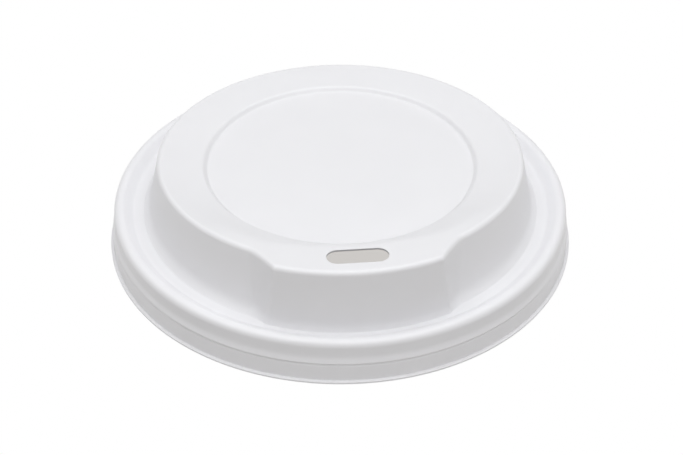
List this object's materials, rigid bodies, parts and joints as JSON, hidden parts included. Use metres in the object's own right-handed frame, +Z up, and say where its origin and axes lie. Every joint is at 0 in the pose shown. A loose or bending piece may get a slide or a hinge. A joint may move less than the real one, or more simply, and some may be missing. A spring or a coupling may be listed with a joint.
{
  "type": "coffee cup lid",
  "caption": "White one-piece takeaway lid with a raised dome, a round recess, a stepped-out spout with a drinking slot, and a press-on skirt with a small lip.",
  "frame": {"origin": "middle of the lip's lower edge, on the surface the lid stands on", "axes": "+Z up through the dome, -Y towards the drinking spout, +X to the right seen from the spout's side"},
  "size_m": [0.093, 0.093, 0.0201],
  "materials": {
    "white_plastic": "satin white moulded polystyrene"
  },
  "bodies": {
    "root": {"lid": "white_plastic"}
  },
  "joints": []
}
